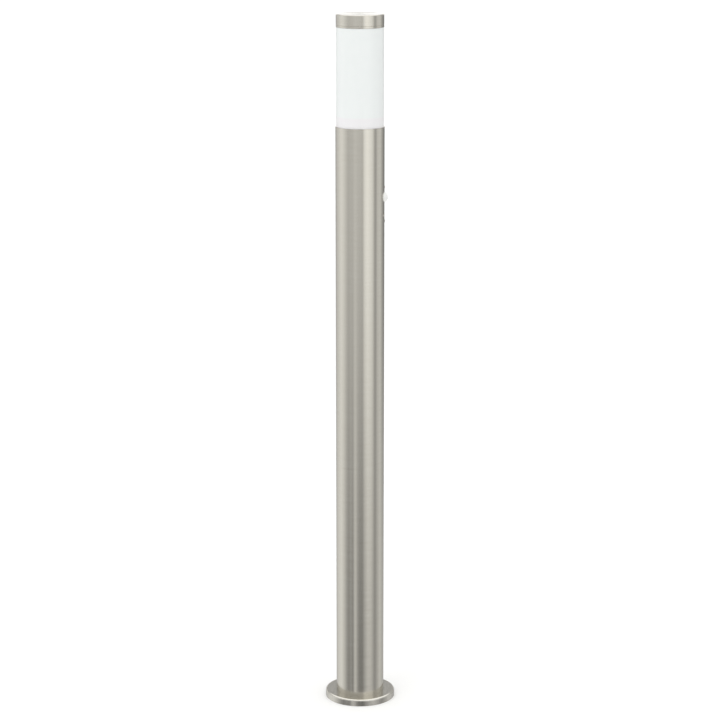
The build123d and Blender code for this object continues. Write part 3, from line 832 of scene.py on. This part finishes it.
def make_globe(materials):
    """The bulb's opal globe: a hollow ball, open where it meets the body."""
    low, high = size_of("bulb_globe")
    radius = 27.5
    inner = radius - 1.2
    steps = 28
    centre = high.z - radius
    rim = math.degrees(math.acos((low.z - centre) / radius))
    inner_rim = math.degrees(math.acos((low.z - centre) / inner))
    outline = arc_points(radius, centre, 0, rim, steps) + arc_points(inner, centre, inner_rim, 0, steps)
    dress(placed(spun(outline, 96), "bulb_dome"), "bulb", "opal_globe", materials, ["bulb_globe"])


def make_bulb_body(materials):
    """The bulb's white body: a neck that flares to the globe in one curve."""
    low, high = size_of("bulb_housing")
    neck = 13.7
    rim = high.x
    pull = (neck + rim) / 2 - 2.2
    steps = 12
    side = []
    for i in range(steps + 1):
        share = i / steps
        x = (1 - share) ** 2 * neck + 2 * share * (1 - share) * pull + share**2 * rim
        side.append((x, low.z + share * (high.z - low.z)))
    bm = spun(side + [(rim - 2, high.z), (neck - 2, low.z)], 96)
    soften(bm, 0.25, 2, lambda edge: edge_middle(edge).xy.length > 12.5)
    dress(placed(bm, "bulb_body"), "bulb", "white_plastic", materials, ["bulb_housing"])


def make_bulb_thread(materials):
    """The bulb's threaded shell: five rounded turns, drawn as rings."""
    low, high = size_of("bulb_screw_shell")
    pitch = 3.62
    turns = 5
    depth = 1.0
    steps = 16 * turns
    crest = high.x
    inside = crest - depth - 0.6
    middle = crest - depth / 2
    wave = [
        (
            middle + depth / 2 * math.sin(2 * math.pi * turns * i / steps),
            low.z + pitch * turns * i / steps,
        )
        for i in range(steps + 1)
    ]
    shoulder = wave[-1][1] + 1.5
    bm = spun(wave + [(crest, shoulder), (crest, high.z), (inside, high.z), (inside, low.z)], 96)
    dress(placed(bm, "bulb_thread"), "bulb", "screw_steel", materials, ["bulb_screw_shell"])


def make_adjusters(materials):
    """Two slotted knobs: a round head on a shaft, with a screwdriver slot."""
    head_back = -34.0
    shaft = 1.9
    slot_depth = 0.9
    slot_half = 0.4
    for node, body in (("time_adjuster", "time_knob"), ("lux_adjuster", "lux_knob")):
        low, high = size_of(node)
        x = (low.x + high.x) / 2
        z = (low.z + high.z) / 2
        head = (high.x - low.x) / 2
        bm = bmesh.new()
        for radius, front, back in ((head, low.y, head_back), (shaft, head_back, high.y)):
            add_rod(bm, radius, (x, (front + back) / 2, z), back - front, FORWARD)
        soften(bm, 0.3, 3, lambda edge: edge_middle(edge).y < low.y + 0.01)
        knob = placed(bm, node + "_knob")
        start = (x - 3, low.y - 1, z - slot_half)
        end = (x + 3, low.y + slot_depth, z + slot_half)
        cut(knob, [block_cutter(node + "_slot", start, end)])
        dress(knob, body, "white_plastic", materials, [node])


def make_pieces(materials):
    make_pole(materials)
    make_rosette(materials)
    make_cap(materials)
    make_diffuser(materials)
    make_lens(materials)
    make_sensor_screws(materials)
    make_flange(materials)
    make_weld(materials)
    make_carrier(materials)
    make_gasket(materials)
    make_lug_ring(materials)
    make_cap_plug(materials)
    make_lampholder(materials)
    make_globe(materials)
    make_bulb_body(materials)
    make_bulb_thread(materials)
    make_adjusters(materials)


def dress_cad_nodes(materials):
    """Every CAD node that still shows takes its slot's material."""
    for part in frame["record"]["subparts"]:
        node = nodes[part["node"]]
        node.data.materials.clear()
        node.data.materials.append(materials[part["material_slot"]])


# ---- Floor, light and surroundings ----


def add_floor():
    """A wide sheet of white paper, left out of reflections."""
    bm = bmesh.new()
    half_side = 30.0
    bmesh.ops.create_grid(bm, x_segments=1, y_segments=1, size=half_side)
    floor = placed(bm, "floor")
    material, tree, shader, place = new_material("floor_paper")
    clouds = grain(tree, place, 0.4)
    finish_surface(tree, shader, tint(tree, clouds, "F4F4F3", "F6F6F5"), spread(tree, clouds, 0.8, 0.9))
    floor.data.materials.append(material)
    floor.visible_glossy = False


SOFTBOX_AZIMUTH = -125
SOFTBOX_ELEVATION = 40
SOFTBOX_DISTANCE = 3.2
SOFTBOX_SIDE = 1.8
SOFTBOX_POWER = 12
SOFTBOX_AIM = 0.6


def add_softbox():
    """A large square light from the left of the camera; its own reflection is left out."""
    light = bpy.data.lights.new("key_softbox", "AREA")
    light.shape = "RECTANGLE"
    light.size = SOFTBOX_SIDE
    light.size_y = SOFTBOX_SIDE
    light.energy = SOFTBOX_POWER
    lamp = bpy.data.objects.new("key_softbox", light)
    scene.collection.objects.link(lamp)
    away = direction(SOFTBOX_AZIMUTH, SOFTBOX_ELEVATION)
    lamp.location = Vector((0, 0, SOFTBOX_AIM)) + away * SOFTBOX_DISTANCE
    lamp.rotation_mode = "QUATERNION"
    lamp.rotation_quaternion = (-away).to_track_quat("-Z", "Y")
    lamp.visible_glossy = False


# Brightness of the studio round the object, from +X round through +Y to +X again: soft boxes, and the
# dark gaps between them. Each row is (degrees round, brightness); each band lies at its own height.
LOW_BAND = (
    (0, 0.42), (36, 0.62), (62, 0.86), (84, 0.90), (104, 0.62), (118, 0.36), (130, 0.24),
    (141, 0.34), (151, 0.20), (159, 0.62), (166, 0.63), (173, 0.36), (184, 0.17), (198, 0.18),
    (212, 0.38), (226, 0.58), (240, 0.57), (262, 0.34), (270, 0.38), (300, 0.71), (325, 0.56),
    (360, 0.42),
)
LEVEL_BAND = (
    (0, 0.30), (20, 0.40), (36, 0.54), (65, 0.78), (84, 0.94), (98, 0.92), (129, 0.64), (161, 0.72),
    (190, 0.73), (197, 0.66), (208, 1.10), (221, 1.20), (244, 0.98), (252, 0.78), (259, 0.48),
    (266, 0.45), (276, 0.71), (296, 0.74), (309, 0.52), (321, 0.36), (334, 0.26),
    (348, 0.22), (360, 0.28),
)
RISING_BAND = (
    (0, 1.35), (40, 1.3), (62, 0.8), (98, 0.85), (200, 0.7), (221, 1.1), (260, 0.6), (318, 0.7),
    (338, 1.3), (360, 1.35),
)
SIDE_BAND = (
    (0, 0.42), (40, 0.44), (74, 0.75), (98, 0.75), (112, 0.5), (196, 0.5), (210, 0.95), (246, 0.9),
    (260, 0.5), (290, 0.7), (325, 0.44), (360, 0.42),
)
OVERHEAD_BAND = ((0, 1.4), (180, 1.4), (360, 1.4))
# LEVEL_BAND is the ground of the blend. Each row lays a band over it: (the band, the height on the
# unit sphere where it starts, the height where it is whole).
STUDIO = (
    (LOW_BAND, -0.165, -0.345),
    (RISING_BAND, 0.02, 0.08),
    (SIDE_BAND, 0.17, 0.28),
    (OVERHEAD_BAND, 0.5, 0.62),
)


def add_band(tree, around, rows):
    """A ramp of brightness round the horizon."""
    ramp = add_node(tree, "ShaderNodeValToRGB", inputs={"Fac": around})
    points = ramp.color_ramp.elements
    for degrees, _ in rows[1:-1]:
        points.new(degrees / 360)
    for point, (degrees, brightness) in zip(points, rows):
        point.position = degrees / 360
        point.color = (brightness, brightness, brightness, 1)
    return ramp.outputs["Color"]


def add_surroundings():
    """Soft boxes and dark gaps as a plain glow far off; the camera itself sees only white."""
    world = bpy.data.worlds.new("studio")
    scene.world = world
    world.use_nodes = True
    tree = world.node_tree
    tree.nodes.clear()
    away = add_node(tree, "ShaderNodeTexCoord").outputs["Generated"]
    parts = add_node(tree, "ShaderNodeSeparateXYZ", inputs={"Vector": away}).outputs
    turn = add_node(tree, "ShaderNodeMath", {"operation": "ARCTAN2"}, {0: parts["Y"], 1: parts["X"]})
    turns = add_node(
        tree, "ShaderNodeMath", {"operation": "DIVIDE"}, {0: turn.outputs[0], 1: 2 * math.pi}
    )
    around = add_node(tree, "ShaderNodeMath", {"operation": "FRACT"}, {0: turns.outputs[0]}).outputs[0]
    glow = add_band(tree, around, LEVEL_BAND)
    for rows, start, whole in STUDIO:
        share = add_node(
            tree,
            "ShaderNodeMapRange",
            {"interpolation_type": "SMOOTHSTEP"},
            {"Value": parts["Z"], "From Min": start, "From Max": whole},
        ).outputs["Result"]
        glow = mix_colours(tree, share, glow, add_band(tree, around, rows))
    studio = add_node(tree, "ShaderNodeBackground", inputs={"Color": glow, "Strength": 1.0})
    white = add_node(tree, "ShaderNodeBackground", inputs={"Color": (1, 1, 1, 1), "Strength": 1.0})
    seen = add_node(tree, "ShaderNodeLightPath").outputs["Is Camera Ray"]
    choice = add_node(tree, "ShaderNodeMixShader", inputs={"Fac": seen})
    tree.links.new(studio.outputs[0], choice.inputs[1])
    tree.links.new(white.outputs[0], choice.inputs[2])
    add_node(tree, "ShaderNodeOutputWorld", inputs={"Surface": choice.outputs[0]})


add_camera()
materials = make_materials()
dress_cad_nodes(materials)
make_pieces(materials)
add_floor()
add_softbox()
add_surroundings()
scene.view_settings.view_transform = "Standard"
